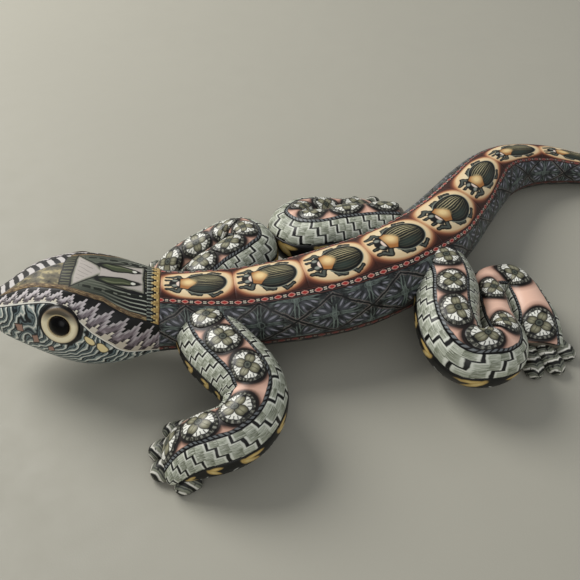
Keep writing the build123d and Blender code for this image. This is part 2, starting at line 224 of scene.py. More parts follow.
def layEdge(name, side=1, start=0):
    # the angle of an edge, which strays a little as a hand-laid edge does
    places, angles = zip(*edgeTables[name])
    seed = 7.3 * list(edgeTables).index(name) + 3.1 * side

    def angle(s):
        stray = noise.noise(Vector((s * 0.13, seed, 0))) * clay["wander"] * 5
        lean = float(np.interp(s, *zip(*drift)))
        return start + lean + side * (float(np.interp(s, places, angles)) + stray)

    return angle


def bandEdge(roll, distance, turn, start=0):
    # the angle of an edge at a distance round a leg from the middle of its ribbon
    def angle(s):
        stray = noise.noise(Vector((s * 0.13, distance, roll.length))) * clay["wander"]
        return start + turn + math.degrees((distance + stray) / roll.radius(s))

    return angle


def shares(length, rim):
    # places from 0 to 1, closer together at both borders
    rim = min(rim, length / 5)
    count = max(2, round((length - 2 * rim) / clay["cell"]))
    inner = [rim + (length - 2 * rim) * i / count for i in range(count + 1)]
    outer = [0, rim * 0.2, rim * 0.55]
    return [v / length for v in (*outer, *inner, *(length - v for v in reversed(outer)))]


def newClay():
    bm = bmesh.new()
    bm.verts.layers.float_vector.new("place")
    bm.verts.layers.float_vector.new("share")
    return bm


def layStrip(bm, roll, start, end, low, high, dome=0.0, drop=0.12, rim=0.6, discs=()):
    # a flat grid is bent under the slice, given its thickness, and its outside is then modelled
    place = bm.verts.layers.float_vector["place"]
    share = bm.verts.layers.float_vector["share"]
    midway = (start + end) / 2
    along = shares(end - start, rim)
    across = shares(roll.arc(midway, high(midway) - low(midway)), rim)
    rows, columns = len(along) - 1, len(across) - 1
    grid = bmesh.ops.create_grid(bm, x_segments=rows, y_segments=columns, size=1)["verts"]
    for vert in grid:
        t, n = along[round((vert.co.x + 1) / 2 * rows)], across[round((vert.co.y + 1) / 2 * columns)]
        s = start + (end - start) * t
        width = roll.arc(s, high(s) - low(s))
        vert[place] = (s, (n - 0.5) * width, n * width)
        vert[share] = (t, n, (1 - n) * width)
        vert.co = roll.point(s, low(s) + (high(s) - low(s)) * n, clay["skin"]) * mm
    faces = list(dict.fromkeys(face for vert in grid for face in vert.link_faces))
    grown = bmesh.ops.extrude_face_region(bm, geom=faces)["geom"]
    for vert in [v for v in grown if isinstance(v, bmesh.types.BMVert)]:
        s, offset, fromLow = vert[place]
        t, n, fromHigh = vert[share]
        angle = low(s) + (high(s) - low(s)) * n
        border = min(t * (end - start), (1 - t) * (end - start), fromLow, fromHigh)
        rounded = drop * (1 - min(border / rim, 1)) ** 2
        bulge = dome * (1 - (2 * t - 1) ** 2) * (1 - (2 * n - 1) ** 2)
        surface = roll.point(s, angle)
        uneven = noise.noise(surface * 0.12) * clay["wobble"]
        vert.co = (surface + roll.outward(s, angle) * (uneven + bulge - rounded)) * mm
        vert.co.z = max(vert.co.z, clay["clearance"] * mm)
        if discs:
            nearest = min(math.hypot(s - disc, offset) for disc in discs)
            vert[share] = (t, n, nearest)
    return grown


def finishPiece(name, bm, material, nodes=()):
    bmesh.ops.recalc_face_normals(bm, faces=bm.faces)
    for face in bm.faces:
        face.smooth = True
    mesh = bpy.data.meshes.new(name)
    bm.to_mesh(mesh)
    bm.free()
    mesh.materials.append(material)
    piece = bpy.data.objects.new(name, mesh)
    bpy.context.scene.collection.objects.link(piece)
    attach(piece, "root")
    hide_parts(*(nodes or [name]))
    return piece


def laySlice(name, material, slot, *strip, **finish):
    bm = newClay()
    layStrip(bm, *strip, **finish)
    return finishPiece("clay_" + name, bm, material, [name])


# Fields and paint: a field is a number that varies over the surface, negative inside a shape
class Field:
    def __init__(self, tree, socket):
        self.tree, self.socket = tree, socket

    def math(self, operation, *others, clamp=False):
        node = self.tree.nodes.new("ShaderNodeMath")
        node.operation, node.use_clamp = operation, clamp
        for place, value in zip(node.inputs, (self, *others)):
            if isinstance(value, Field):
                self.tree.links.new(value.socket, place)
            else:
                place.default_value = value
        return Field(self.tree, node.outputs[0])

    def __add__(self, other):
        return self.math("ADD", other)

    def __sub__(self, other):
        return self.math("SUBTRACT", other)

    def __mul__(self, other):
        return self.math("MULTIPLY", other)

    def __truediv__(self, other):
        return self.math("DIVIDE", other)

    def __neg__(self):
        return self.math("MULTIPLY", -1.0)

    def __abs__(self):
        return self.math("ABSOLUTE")

    def __and__(self, other):
        return self.math("MAXIMUM", other)

    def __or__(self, other):
        return self.math("MINIMUM", other)

    def repeat(self, period, shift=0.0):
        # the distance from the nearest of a row of places
        return (self - shift).math("WRAP", period / 2, -period / 2)

    def cover(self, soft):
        # 1 inside the shape, 0 outside, and a soft border between
        return self.math("MULTIPLY_ADD", -1 / soft, 0.5, clamp=True)

    def hold(self, share=1.0):
        # a share of the field, held between 0 and 1
        return self.math("MULTIPLY", share, clamp=True)


class ClayPaint:
    # a clay material, painted layer by layer
    def __init__(self, name, ground, attribute="place", wander=0.35, roughness=0.42):
        self.material = bpy.data.materials.new(name)
        self.material.use_nodes = True
        self.tree = self.material.node_tree
        self.shader = self.tree.nodes["Principled BSDF"]
        self.object = self.tree.nodes.new("ShaderNodeTexCoord").outputs["Object"]
        self.roughness = roughness
        self.warp = self.cloud(5.0, detail=2.0).node.outputs["Color"]
        self.wander = wander
        self.x, self.y, self.z = self.read(attribute)
        self.colour = None
        self.ground = self.display(ground)

    def display(self, colour):
        # linear light of a colour as it is seen
        return (*(max(v, 0.0) ** 2.2 for v in colour), 1.0)

    def cloud(self, size, detail=3.0, vector=None, stretch=None):
        # soft noise with features of a size in millimetres
        node = self.tree.nodes.new("ShaderNodeTexNoise")
        node.inputs["Scale"].default_value = 1 / (size * mm) if vector is None else 1 / size
        node.inputs["Detail"].default_value = detail
        source = vector or self.object
        if stretch:
            mapping = self.tree.nodes.new("ShaderNodeMapping")
            mapping.inputs["Scale"].default_value = stretch
            self.tree.links.new(source, mapping.inputs["Vector"])
            source = mapping.outputs["Vector"]
        self.tree.links.new(source, node.inputs["Vector"])
        field = Field(self.tree, node.outputs[0])
        field.node = node
        return field

    def read(self, attribute, wander=None):
        # the three numbers of a vertex attribute, strayed a little as pressed clay is
        wander = self.wander if wander is None else wander
        source = self.tree.nodes.new("ShaderNodeAttribute")
        source.attribute_name = attribute
        shift = self.tree.nodes.new("ShaderNodeVectorMath")
        shift.operation = "SUBTRACT"
        shift.inputs[1].default_value = (0.5, 0.5, 0.5)
        self.tree.links.new(self.warp, shift.inputs[0])
        move = self.tree.nodes.new("ShaderNodeVectorMath")
        move.operation = "MULTIPLY_ADD"
        move.inputs[1].default_value = (wander * 4, wander * 4, 0.0)
        self.tree.links.new(shift.outputs[0], move.inputs[0])
        self.tree.links.new(source.outputs["Vector"], move.inputs[2])
        apart = self.tree.nodes.new("ShaderNodeSeparateXYZ")
        self.tree.links.new(move.outputs[0], apart.inputs[0])
        return [Field(self.tree, socket) for socket in apart.outputs]

    def combine(self, x, y, z=0.0):
        node = self.tree.nodes.new("ShaderNodeCombineXYZ")
        for place, value in zip(node.inputs, (x, y, z)):
            if isinstance(value, Field):
                self.tree.links.new(value.socket, place)
            else:
                place.default_value = value
        return node.outputs[0]

    def length(self, x, y):
        node = self.tree.nodes.new("ShaderNodeVectorMath")
        node.operation = "LENGTH"
        self.tree.links.new(self.combine(x, y), node.inputs[0])
        return Field(self.tree, node.outputs["Value"])

    def oval(self, x, y, x0, y0, halfLength, halfWidth):
        reach = self.length((x - x0) / halfLength, (y - y0) / halfWidth)
        return (reach - 1) * min(halfLength, halfWidth)

    def stroke(self, x, y, x0, y0, x1, y1, half):
        # distance to a line from one point to another, less its half thickness
        span = Vector((x1 - x0, y1 - y0))
        along = ((x - x0) * (span.x / span.length_squared)) + ((y - y0) * (span.y / span.length_squared))
        along = along.hold()
        return self.length(x - x0 - along * span.x, y - y0 - along * span.y) - half

    def layer(self, mask, colour):
        # paints a colour where the mask is 1
        mix = self.tree.nodes.new("ShaderNodeMix")
        mix.data_type = "RGBA"
        self.tree.links.new(mask.socket, mix.inputs[0])
        for place, value in ((6, self.colour or self.ground), (7, colour)):
            if isinstance(value, (Field, bpy.types.NodeSocket)):
                self.tree.links.new(getattr(value, "socket", value), mix.inputs[place])
            else:
                mix.inputs[place].default_value = value if len(value) == 4 else self.display(value)
        self.colour = mix.outputs[2]

    def finish(self):
        # satin, lightly buffed clay
        smear = self.cloud(9.0)
        fine = self.cloud(0.5, detail=5.0)
        gloss = self.tree.nodes.new("ShaderNodeMapRange")
        gloss.inputs["From Min"].default_value = 0.3
        gloss.inputs["From Max"].default_value = 0.7
        gloss.inputs["To Min"].default_value = self.roughness - 0.07
        gloss.inputs["To Max"].default_value = self.roughness + 0.1
        self.tree.links.new(smear.socket, gloss.inputs["Value"])
        self.tree.links.new(gloss.outputs[0], self.shader.inputs["Roughness"])
        bump = self.tree.nodes.new("ShaderNodeBump")
        bump.inputs["Strength"].default_value = 0.12
        bump.inputs["Distance"].default_value = 0.25 * mm
        self.tree.links.new(fine.socket, bump.inputs["Height"])
        self.tree.links.new(bump.outputs[0], self.shader.inputs["Normal"])
        self.shader.inputs["Specular IOR Level"].default_value = 0.42
        self.tree.links.new(self.colour, self.shader.inputs["Base Color"])
        return self.material


print("clay maths ready")

# Colours as they are seen
black = (0.05, 0.05, 0.05)
salmon = (1.0, 0.82, 0.73)


def plainClay(name, colour):
    paint = ClayPaint(name, colour)
    paint.layer(paint.cloud(6.0).math("SUBTRACT", 0.4, clamp=True), tuple(v * 0.7 for v in colour))
    return paint.finish()


def wireMetal(name):
    paint = ClayPaint(name, (0.55, 0.55, 0.55), roughness=0.32)
    paint.layer(paint.cloud(0.8, stretch=(1, 1, 8)).math("SUBTRACT", 0.3, clamp=True), (0.36, 0.36, 0.37))
    paint.shader.inputs["Metallic"].default_value = 1.0
    return paint.finish()


# A beetle on a cream oval, on each slice of the back, drawn 24 long by 20 wide
beetle = {
    "legs": [  # from x, y to x, y, half thickness
        (-2.2, 3.4, -0.9, 5.6, 0.5),
        (-0.9, 5.6, 1.4, 6.0, 0.4),
        (3.8, 5.3, 5.0, 6.5, 0.45),
        (5.0, 6.5, 7.2, 5.0, 0.4),
        (-4.6, 2.8, -5.4, 4.7, 0.65),
        (-5.4, 4.7, -7.2, 3.6, 0.6),
        (-7.2, 3.6, -8.6, 3.6, 0.45),
        (-6.8, 1.4, -8.8, 1.5, 0.4),
    ],
    "ground": (0.24, 0.12, 0.09),
    "frame": [  # how far outside the oval, softness, colour
        (1.1, 1.2, (0.48, 0.27, 0.19)),
        (0.5, 0.8, (0.70, 0.46, 0.33)),
        (0.05, 0.6, (0.87, 0.68, 0.50)),
        (-0.5, 0.6, (0.97, 0.86, 0.68)),
        (-2.4, 1.8, (0.99, 0.91, 0.75)),
    ],
    "gold": (0.84, 0.80, 0.62),
    "thorax": (0.70, 0.47, 0.26),
}


def beetlePaint(name):
    paint = ClayPaint(name, beetle["ground"], attribute="share", wander=0.0)
    x, y = paint.x * 24 - 12, paint.y * 20 - 10
    lengthways, sideways = abs(x / 11.9).math("POWER", 2.4), abs((y + 0.2) / 9.5).math("POWER", 2.4)
    border = ((lengthways + sideways).math("POWER", 0.417) - 1) * 9.6
    for outside, soft, colour in beetle["frame"]:
        paint.layer((border - outside).cover(soft), colour)
    grain = paint.cloud(1.2, vector=paint.combine(x, y))
    x, y = x * 0.9 + 0.3, y * 0.84 + 0.6
    side = abs(y)
    reach = None
    for line in beetle["legs"]:
        stroke = paint.stroke(x, side, *line)
        reach = stroke if reach is None else reach | stroke
    reach = reach + (grain - 0.5) * 0.8
    paint.layer((reach - 0.28).cover(0.2), black)
    paint.layer((reach + 0.22).cover(0.25), (0.34, 0.36, 0.33))
    head = paint.oval(x, side, -5.7, 0.0, 2.0, 2.7) + (grain - 0.5) * 0.8
    paint.layer((head - 0.2).cover(0.2), black)
    paint.layer(paint.oval(x, side, -6.3, 1.5, 0.8, 0.6).cover(0.4), (0.58, 0.60, 0.56))
    paint.layer(paint.oval(x, y, -5.0, -0.4, 0.85, 1.35).cover(0.3), (0.97, 0.88, 0.82))
    # wing cases, with fine gold lines that follow their outline
    wing = paint.oval(x, side, 2.3, 0.0, 6.4, 5.2) & -(x + 2.6)
    paint.layer((wing - 0.5).cover(0.2), (0.62, 0.64, 0.58))
    paint.layer((wing - 0.28).cover(0.2), (0.04, 0.05, 0.045))
    curve = ((x - 2.3) * (x - 2.3) / -46.0 + 1.04).math("MAXIMUM", 0.02).math("SQRT")
    lines = abs(((y + grain * 0.3) / curve).repeat(0.9, 0.35)) - 0.13
    # a painted highlight to one side of the wing cases, where the gold lines show most
    wingHighlight = paint.oval(x, y, 3.6, 2.0, 4.6, 2.6).cover(3.2)
    paint.layer(((wing + 0.5) & lines).cover(0.25) * (wingHighlight * 0.9 + 0.1), beetle["gold"])
    glow = paint.oval(x, y, 1.8, -2.9, 3.0, 1.1).cover(1.6) * 0.7
    paint.layer(glow * (wing + 0.6).cover(0.3), (0.24, 0.29, 0.26))
    paint.layer(((wing + 0.3) & (abs(y) - 0.16)).cover(0.2), black)
    # the thorax ends in a blunt point between the wing cases
    thorax = (-x - 4.6) & (x + side * 0.75 - 0.1) & (side - (x * 0.3 + 4.0))
    paint.layer((thorax - 0.4).cover(0.2), black)
    paint.layer(thorax.cover(0.3), beetle["thorax"])
    # a painted highlight: a soft pale patch on the thorax
    paint.layer(paint.oval(x, y, -2.2, 0.5, 1.8, 1.7).cover(2.0), (0.98, 0.86, 0.62))
    return paint.finish()


# Red beads between pairs of white dots, along a black strip that narrows with the body
beads = {
    "period": 4.0,
    "rim": (0.90, 0.66, 0.60),
    "red": (0.70, 0.20, 0.18),
    "dot": (0.92, 0.88, 0.80),
}


def beadPaint(name, dim=1.0):
    paint = ClayPaint(name, (0.09, 0.08, 0.09), wander=0.12)
    fromHigh = paint.read("share", 0.0)[2]
    width = (paint.z + fromHigh).math("MAXIMUM", 0.4)
    u, v = paint.x.repeat(beads["period"]), paint.y / width * 3.6
    half = paint.x.repeat(beads["period"], beads["period"] / 2)
    rim, red, dot = (tuple(value * dim for value in beads[key]) for key in ("rim", "red", "dot"))
    bead = (abs(u) * 0.66 + abs(v) * 0.8 - 0.74) | paint.oval(u, v, 0.0, 0.0, 1.0, 0.76)
    paint.layer((abs(abs(v) - 1.35) - 0.14).cover(0.2), (0.40, 0.22, 0.18))
    paint.layer((bead - 0.08).cover(0.2), rim)
    paint.layer((bead + 0.17).cover(0.25), red)
    dots = paint.oval(abs(half), abs(v), 0.24, 0.38, 0.26, 0.24)
    paint.layer(dots.cover(0.15), dot)
    paint.layer((-(paint.x - 190.0)).cover(40.0) * 0.55, (0.30, 0.18, 0.16))
    return paint.finish()


# A dark lattice of stars and pointed petals
star = {
    "period": 21.5,
    "petal": (0.30, 0.31, 0.33),
    "browHighlight": (0.60, 0.60, 0.64),
    "line": (0.40, 0.44, 0.42),
}


def flankPaint(name):
    paint = ClayPaint(name, (0.075, 0.08, 0.085), wander=0.4)
    paint.layer((paint.cloud(1.8, detail=5.0) * 5 - 2.1).hold(), (0.20, 0.22, 0.22))
    patches = (paint.cloud(3.0, detail=3.0) * 5 - 1.7).hold()
    for shift, drop in ((0.0, 0.0), (star["period"] / 2, 7.0)):
        u = abs(paint.x.repeat(star["period"], shift))
        v = abs(paint.y) if drop == 0 else abs(abs(paint.y) - drop)
        near = (paint.length(u, v) - 7.2).cover(1.5)
        petals = None
        for tilt, away, reach, half in ((30, 4.0, 2.6, 0.85), (58, 3.7, 2.2, 0.75), (12, 5.2, 1.6, 0.5)):
            across, rise = math.cos(math.radians(tilt)), math.sin(math.radians(tilt))
            petal = paint.oval(u * across + v * rise, v * across - u * rise, away, 0.0, reach, half)
            paint.layer((petal + 0.05).cover(0.25) * near * patches, star["petal"])
            spine = paint.oval(
                u * across + v * rise, v * across - u * rise, away + 0.3, 0.1, reach * 0.5, 0.26
            )
            paint.layer(spine.cover(0.2) * near, star["browHighlight"])
            petals = petal if petals is None else petals | petal
        paint.layer((abs(petals - 0.35) - 0.12).cover(0.15) * near * patches, star["line"])
        cross = (abs(u - 0.5) - 0.15) | (abs(v - 0.45) - 0.1)
        paint.layer(cross.cover(0.2) * near * patches, (0.48, 0.53, 0.50))
        paint.layer((abs(paint.oval(u, v, 0.0, 0.0, 1.1, 1.0)) - 0.12).cover(0.2), star["line"])
    diamond = abs(abs(paint.x.repeat(star["period"])) * 0.66 + abs(paint.y) - 7.1)
    paint.layer((abs(diamond - 0.55) - 0.14).cover(0.2) * patches, (0.46, 0.42, 0.40))
    paint.layer((diamond - 0.3).cover(0.2), (0.04, 0.04, 0.045))
    ticks = abs((paint.x + paint.y).repeat(1.1)) - 0.16
    paint.layer((ticks & (diamond - 1.5) & -(diamond - 0.8)).cover(0.2) * patches, (0.30, 0.31, 0.31))
    worn = paint.cloud(2.4, detail=4.0) * 6 - 3.4
    paint.layer(worn.hold(0.85), (0.035, 0.035, 0.04))
    return paint.finish()


# Dark, with faint waves and dots
def bellyPaint(name):
    paint = ClayPaint(name, (0.12, 0.13, 0.13), wander=0.5)
    waves = abs((paint.y + (paint.x * 0.55).math("SINE") * 1.1).repeat(3.2)) - 0.35
    paint.layer(waves.cover(0.3), (0.30, 0.32, 0.31))
    dots = paint.oval(paint.x.repeat(6.5), paint.y.repeat(6.4, 1.6), 0.0, 0.0, 0.9, 0.5)
    paint.layer(dots.cover(0.3), (0.46, 0.42, 0.36))
    return paint.finish()


# The top of the head: speckled feathers in front, a pale arrow with two dark slots behind
crown = {
    "stripe": 2.9,  # period of the stripes along one edge of the snout
    "rib": 0.05,  # period of the fan's lines, as a share of the width
    "pale": (0.76, 0.73, 0.70),
    "slot": (0.28, 0.31, 0.22),
}


def crownPaint(name):
    paint = ClayPaint(name, (0.40, 0.37, 0.28), wander=0.3, roughness=0.55)
    n, fromHigh = paint.read("share", 0.0)[1:]
    s, side = paint.x, abs(paint.y)
    edge, width = paint.z | fromHigh, paint.z + fromHigh
    flakes = paint.cloud(1.3, detail=5.0, vector=paint.combine(s * 0.5, paint.y * 0.9 + s * 0.1))
    front = (s - 28.0).cover(4.0)
    paint.layer((flakes * 8 - 4.2).hold() * front, (0.72, 0.66, 0.48))
    paint.layer((flakes * -8 + 3.7).hold() * front, (0.12, 0.10, 0.08))
    # a fan of fine lines, which thicken towards the collar
    back = (-(s - 31.0)).cover(3.0)
    paint.layer(back, (0.35, 0.37, 0.32))
    ramp = ((s - 30.0) / 21.5).hold()
    hair = paint.cloud(0.5, vector=paint.combine(s * 0.06, n * 40))
    paint.layer((hair * 8 - 4.4).hold() * back * 0.6, (0.56, 0.57, 0.50))
    ribs = n + (hair - 0.5) * 0.006
    lines = abs(ribs.repeat(crown["rib"])) * width - ramp * ramp * 0.75 + 0.06
    paint.layer(lines.cover(0.15) * back, (0.06, 0.07, 0.07))
    pale = abs(ribs.repeat(crown["rib"], crown["rib"] / 2)) * width - ramp * ramp * 0.22
    paint.layer(pale.cover(0.15) * back * ramp, (0.74, 0.76, 0.70))
    shadow = paint.oval(s, side, 36.0, 8.0, 7.0, 2.2).cover(2.5)
    paint.layer(shadow * back * 0.6, (0.17, 0.19, 0.17))
    # grain along both edges, and stripes along the right one beside the snout
    grain = paint.cloud(0.5, detail=4.0, vector=paint.combine(s * 0.3, edge * 2.2))
    border = edge - 1.5
    paint.layer(border.cover(0.3), (0.42, 0.34, 0.25))
    paint.layer(border.cover(0.3) * (grain * 8 - 4.2).hold(), (0.76, 0.66, 0.48))
    paint.layer(border.cover(0.3) * (grain * -8 + 3.6).hold(), (0.12, 0.09, 0.07))
    rim = (fromHigh - 4.5) & (s - 28.5)
    stripes = abs((s - fromHigh * 0.55).repeat(crown["stripe"])) - 0.74
    paint.layer(rim.cover(0.3), (0.82, 0.80, 0.79))
    paint.layer((rim & stripes).cover(0.2), black)
    # the arrow, and the ribbed plates before and behind it
    arrowHead = (-s + 31.0) & (s - 38.8) & (side - (s * -0.66 + 25.8))
    stem = (-s + 38.0) & (s - 50.4) & (side - (s * 0.2 - 5.1))
    arrow = arrowHead | stem
    dashes = abs(side - (s * 0.06 + 3.3)) - 0.45
    paint.layer((dashes & (abs(s.repeat(3.2)) - 1.15) & -(s - 33.0)).cover(0.2), (0.12, 0.14, 0.10))
    paint.layer((arrow - 0.6).cover(0.25), (0.08, 0.08, 0.07))
    paint.layer((arrow - 0.1).cover(0.3), (0.56, 0.56, 0.50))
    paint.layer((arrow + 0.3).cover(0.4), crown["pale"])
    hatch = abs((s * 0.35 + paint.y).repeat(1.2)) - 0.06
    paint.layer(((arrowHead + 1.0) & hatch & (s - 36.0)).cover(0.15) * 0.7, (0.42, 0.40, 0.38))
    slots = paint.oval(s, side, 43.2, 2.15, 5.3, 1.05)
    paint.layer((slots - 0.28).cover(0.2), (0.07, 0.08, 0.06))
    paint.layer((slots + 0.15).cover(0.3), crown["slot"])
    paint.layer(((slots + 0.3) & (abs(side - 2.5) - 0.12)).cover(0.3), (0.50, 0.52, 0.40))
    paint.layer(paint.oval(s, side, 47.6, 2.15, 0.7, 0.5).cover(0.2), (0.93, 0.93, 0.88))
    for plate in ((-s + 27.4) & (s - 30.6) & (side - 5.2), (-s + 50.6) & (side - 3.6)):
        paint.layer((plate - 0.2).cover(0.3), (0.08, 0.08, 0.07))
        bars = abs(side.repeat(0.95)) - 0.2
        paint.layer(((plate + 0.25) & bars).cover(0.2), (0.40, 0.40, 0.31))
    return paint.finish()


# Gold, with stepped black teeth towards the crown
collar = {"gold": (0.74, 0.61, 0.37), "tooth": 2.2}


def collarPaint(name):
    paint = ClayPaint(name, collar["gold"], wander=0.2)
    s, v = paint.x - seams["collar"], paint.y
    streaks = paint.cloud(1.2, vector=paint.combine(s * 0.3, v * 2.0))
    paint.layer((streaks * 6 - 3.2).hold(), (0.45, 0.34, 0.18))
    teeth = s - 2.9 + abs(v.repeat(collar["tooth"])).math("SNAP", 0.36) * 2.3
    paint.layer((teeth - 0.5).cover(0.3), (0.93, 0.82, 0.55))
    paint.layer(teeth.cover(0.2), (0.08, 0.08, 0.08))
    paint.layer(((s - 1.6) & (abs(v.repeat(collar["tooth"] / 2)) - 0.16)).cover(0.15), (0.60, 0.63, 0.58))
    paint.layer((-(s - 3.9)).cover(0.3), (0.30, 0.18, 0.12))
    return paint.finish()


# A stepped zigzag of mauve and black over cream teeth
brow = {
    "period": 3.6,
    "lean": 0.6,
    "step": 0.6,
    "mauve": (0.50, 0.455, 0.475),
    "highlightMauve": (0.86, 0.83, 0.83),
    "cream": (0.95, 0.92, 0.85),
}


def browPaint(name, side):
    paint = ClayPaint(name, (0.055, 0.045, 0.05), wander=0.2)
    fromHigh = paint.read("share", 0.0)[2]
    top, bottom = (paint.z, fromHigh) if side > 0 else (fromHigh, paint.z)
    width = top + bottom
    lean = paint.x + top * brow["lean"]
    stairs = lean.math("SNAP", brow["step"])
    tooth = (abs((stairs + 1.2).repeat(brow["period"])) - 0.6).math("MAXIMUM", 0.0)
    crest = top - width * 0.07 - abs(stairs.repeat(brow["period"])) * width * 0.24
    foot = bottom - width * 0.1 - tooth * width * 0.24
    zigzag = -crest & -(foot - 0.4)
    inside = zigzag.cover(0.15)
    paint.layer(inside, brow["mauve"])
    # painted highlight: the mauve turns pale towards its top edge, most towards the snout
    browHighlight = (crest - 2.4).cover(1.8) * ((paint.x - 48.0).cover(36.0) * 0.8 + 0.2)
    paint.layer(inside * browHighlight, brow["highlightMauve"])
    paint.layer((zigzag & (foot - 1.6)).cover(0.8) * 0.85, (0.17, 0.14, 0.155))
    streaks = paint.cloud(0.7, detail=3.0, vector=paint.combine(lean, top * 0.25))
    paint.layer(inside * (streaks * 8 - 4.5).hold(0.6), (0.76, 0.71, 0.74))
    paint.layer(inside * (streaks * -8 + 3.4).hold(0.6), (0.20, 0.15, 0.18))
    paint.layer(foot.cover(0.15), brow["cream"])
    shaded = (foot & (bottom - width * 0.3)).cover(0.2) * (-(paint.x - 36.0)).cover(16.0)
    paint.layer(shaded * 0.5, (0.66, 0.60, 0.52))
    paint.layer((bottom - 0.8).cover(0.2), (0.98, 0.97, 0.93))
    paint.layer((bottom - 0.3).cover(0.15), (0.12, 0.13, 0.14))
    return paint.finish()


# Wavy contour lines in front of the eye and under it, with lozenges along the jaw
cheek = {
    "period": 2.3,
    "sway": 7.0,  # how far the lines stray
    "white": (0.96, 0.95, 0.90),
    "spot": (0.98, 0.90, 0.68),
    "lozenge": (0.66, 0.52, 0.46),
    "lozenges": [(14.5, -2.7), (19.3, -0.8), (24.0, 1.6)],  # distance from the nose, and downwards
    "spots": [(36.5, -7.4), (39.6, -6.5)],
}


def cheekPaint(name, spot, side):
    paint = ClayPaint(name, (0.42, 0.48, 0.49), wander=0.4)
    away = paint.tree.nodes.new("ShaderNodeVectorMath")
    away.operation = "DISTANCE"
    paint.tree.links.new(paint.object, away.inputs[0])
    away.inputs[1].default_value = spot * mm
    distance = Field(paint.tree, away.outputs["Value"]) / mm
    s, down = paint.x, paint.y * side
    swirl = (paint.cloud(6.0, detail=1.0) - 0.5) * cheek["sway"]
    ripple = (paint.cloud(2.0, detail=1.0) - 0.5) * 1.2
    around = (distance - 11.0).cover(5.0) * (distance * -0.35)
    bands = (s + down * 0.75 + down * down * 0.03 + swirl + ripple + around).repeat(cheek["period"])
    paint.layer((abs(bands) - 0.5).cover(0.35), (0.64, 0.69, 0.67))
    paint.layer((abs(bands - 0.1) - 0.16).cover(0.2), cheek["white"])
    paint.layer((abs(bands - 0.75) - 0.27).cover(0.2), (0.05, 0.06, 0.065))
    paint.layer((abs(bands + 0.8) - 0.16).cover(0.2), (0.08, 0.11, 0.13))
    tint = paint.cloud(7.0, detail=1.0)
    paint.layer((tint * 4 - 2.1).hold(0.35), (0.20, 0.27, 0.32))
    for x, y in cheek["lozenges"]:
        p, q = (s - x) * 0.8 + (down - y) * 0.6, (down - y) * 0.8 - (s - x) * 0.6
        lozenge = abs(p) * 0.9 + abs(q) * 0.6 - 1.0
        paint.layer((lozenge - 0.3).cover(0.15), (0.07, 0.07, 0.07))
        paint.layer(lozenge.cover(0.3), cheek["lozenge"])
    for x, y in cheek["spots"]:
        dot = paint.oval(s, down, x, y, 1.3, 1.2)
        paint.layer((dot - 0.3).cover(0.2), black)
        paint.layer(dot.cover(0.3), cheek["spot"])
    paint.layer((distance - 7.3).cover(0.5), (0.07, 0.07, 0.07))
    return paint.finish()


# The cheek's lines carried on underneath
def throatPaint(name):
    paint = ClayPaint(name, (0.36, 0.42, 0.43), wander=0.5)
    waves = (paint.x * 0.8 + (paint.y * 0.5).math("SINE") * 1.4).repeat(3.4)
    paint.layer((abs(waves) - 0.5).cover(0.3), (0.70, 0.70, 0.66))
    paint.layer((abs(waves - 1.0) - 0.25).cover(0.2), black)
    return paint.finish()


# Fine rings, and two nostrils
def snoutPaint(name):
    paint = ClayPaint(name, (0.50, 0.54, 0.52), wander=0.3)
    lines = (paint.x + abs(paint.y) * 0.18).repeat(1.5)
    paint.layer((abs(lines) - 0.3).cover(0.2), (0.15, 0.15, 0.14))
    paint.layer((abs(lines - 0.5) - 0.13).cover(0.2), (0.88, 0.86, 0.80))
    paint.layer(paint.oval(paint.x, abs(abs(paint.z) - 3.0), 2.2, 0.0, 0.55, 0.45).cover(0.2), black)
    return paint.finish()


# Dark, with brown rings
def tailPaint(name):
    paint = ClayPaint(name, (0.13, 0.13, 0.13), wander=0.3)
    rings = abs(paint.x.repeat(2.6)) - 0.5
    paint.layer(rings.cover(0.3), (0.55, 0.40, 0.30))
    return paint.finish()


# Salmon clay, shaded dark round each disc, between two rope edges
ribbon = {"shade": (0.55, 0.38, 0.32), "rope": (0.46, 0.48, 0.49), "twist": 1.15}


def ribbonPaint(name):
    paint = ClayPaint(name, salmon, wander=0.25)
    away = paint.read("share", 0.0)[2]
    v = abs(paint.y)
    paint.layer((away - 6.9).cover(1.9) * 0.7, ribbon["shade"])
    paint.layer((away - 6.1).cover(0.9), (0.12, 0.09, 0.08))
    paint.layer((-(v - 4.95)).cover(0.2), (0.06, 0.06, 0.06))
    twist = abs((paint.x + v * 0.7).repeat(ribbon["twist"])) - 0.33
    paint.layer((twist & -(v - 5.1) & (v - 5.8)).cover(0.15), ribbon["rope"])
    return paint.finish()


# A flower of khaki petals with hatched white ones between them, in a mottled ring
flower = {
    "petals": 4,
    "white": (0.97, 0.97, 0.93),
    "khaki": (0.42, 0.41, 0.33),
    "paleKhaki": (0.62, 0.61, 0.51),
    "ring": (0.60, 0.60, 0.55),
}


